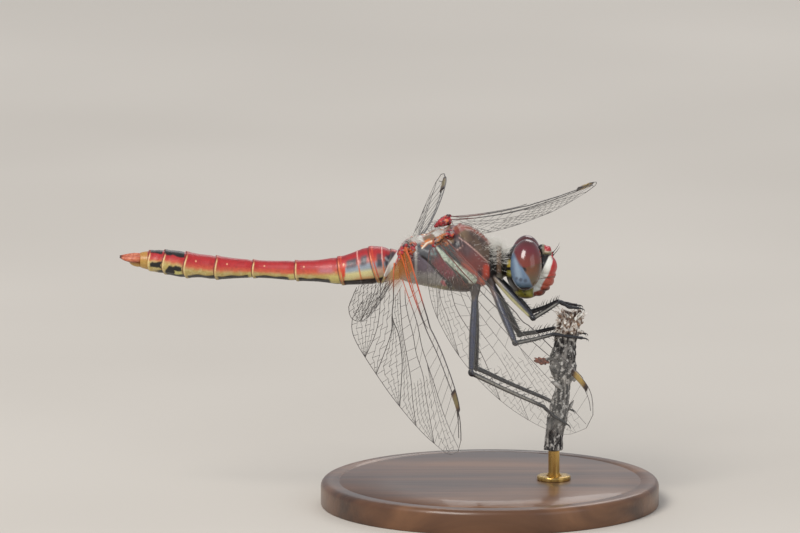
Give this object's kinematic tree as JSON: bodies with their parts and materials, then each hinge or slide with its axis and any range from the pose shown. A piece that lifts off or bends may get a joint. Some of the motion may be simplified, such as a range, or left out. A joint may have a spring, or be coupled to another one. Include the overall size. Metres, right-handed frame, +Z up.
{
  "type": "dragonfly display model",
  "caption": "Still life-size model of a male red-veined darter dragonfly gripping the worn top of a cut dry twig, wings spread, held on a small round display stand.",
  "frame": {"origin": "centre of the flat underside of the stand's round base", "axes": "+Z up, +X the way the insect faces, -Y towards the insect's right side; metres"},
  "size_m": [0.0478, 0.0561, 0.026],
  "materials": {
    "wood": "waxed walnut",
    "brass": "polished",
    "bark": "dry weathered bark",
    "abdomen": "glossy red cuticle",
    "appendage": "glossy orange cuticle",
    "thorax": "hairy brown cuticle",
    "wingroot": "red hinge plates",
    "membrane": "clear veined membrane",
    "eye": "glossy compound eye",
    "capsule": "black and yellow cuticle",
    "face": "red and cream cuticle",
    "antenna": "black cuticle",
    "leg": "black cuticle with pale stripes"
  },
  "bodies": {
    "root": {"stand_base": "wood", "stand_rod": "brass", "perch_twig": "bark", "abdomen_1": "abdomen", "abdomen_2": "abdomen", "abdomen_3": "abdomen", "abdomen_4": "abdomen", "abdomen_5": "abdomen", "abdomen_6": "abdomen", "abdomen_7": "abdomen", "abdomen_8": "abdomen", "abdomen_9": "abdomen", "abdomen_10": "abdomen", "cercus_L": "appendage", "cercus_R": "appendage", "epiproct": "appendage", "thorax": "thorax", "prothorax": "thorax", "neck": "thorax", "wingroot_forewing_L": "wingroot", "wingroot_forewing_R": "wingroot", "wingroot_hindwing_L": "wingroot", "wingroot_hindwing_R": "wingroot", "forewing_L": "membrane", "forewing_R": "membrane", "hindwing_L": "membrane", "hindwing_R": "membrane", "eye_L": "eye", "eye_R": "eye", "head_capsule": "capsule", "labium": "capsule", "frons": "face", "clypeus": "face", "labrum": "face", "vertex": "face", "antenna_L": "antenna", "antenna_R": "antenna", "leg_front_R_femur": "leg", "leg_front_R_tibia": "leg", "leg_front_R_tarsus": "leg", "leg_front_L_femur": "leg", "leg_front_L_tibia": "leg", "leg_front_L_tarsus": "leg", "leg_middle_R_femur": "leg", "leg_middle_R_tibia": "leg", "leg_middle_R_tarsus": "leg", "leg_middle_L_femur": "leg", "leg_middle_L_tibia": "leg", "leg_middle_L_tarsus": "leg", "leg_hind_R_femur": "leg", "leg_hind_R_tibia": "leg", "leg_hind_R_tarsus": "leg", "leg_hind_L_femur": "leg", "leg_hind_L_tibia": "leg", "leg_hind_L_tarsus": "leg"}
  },
  "joints": []
}
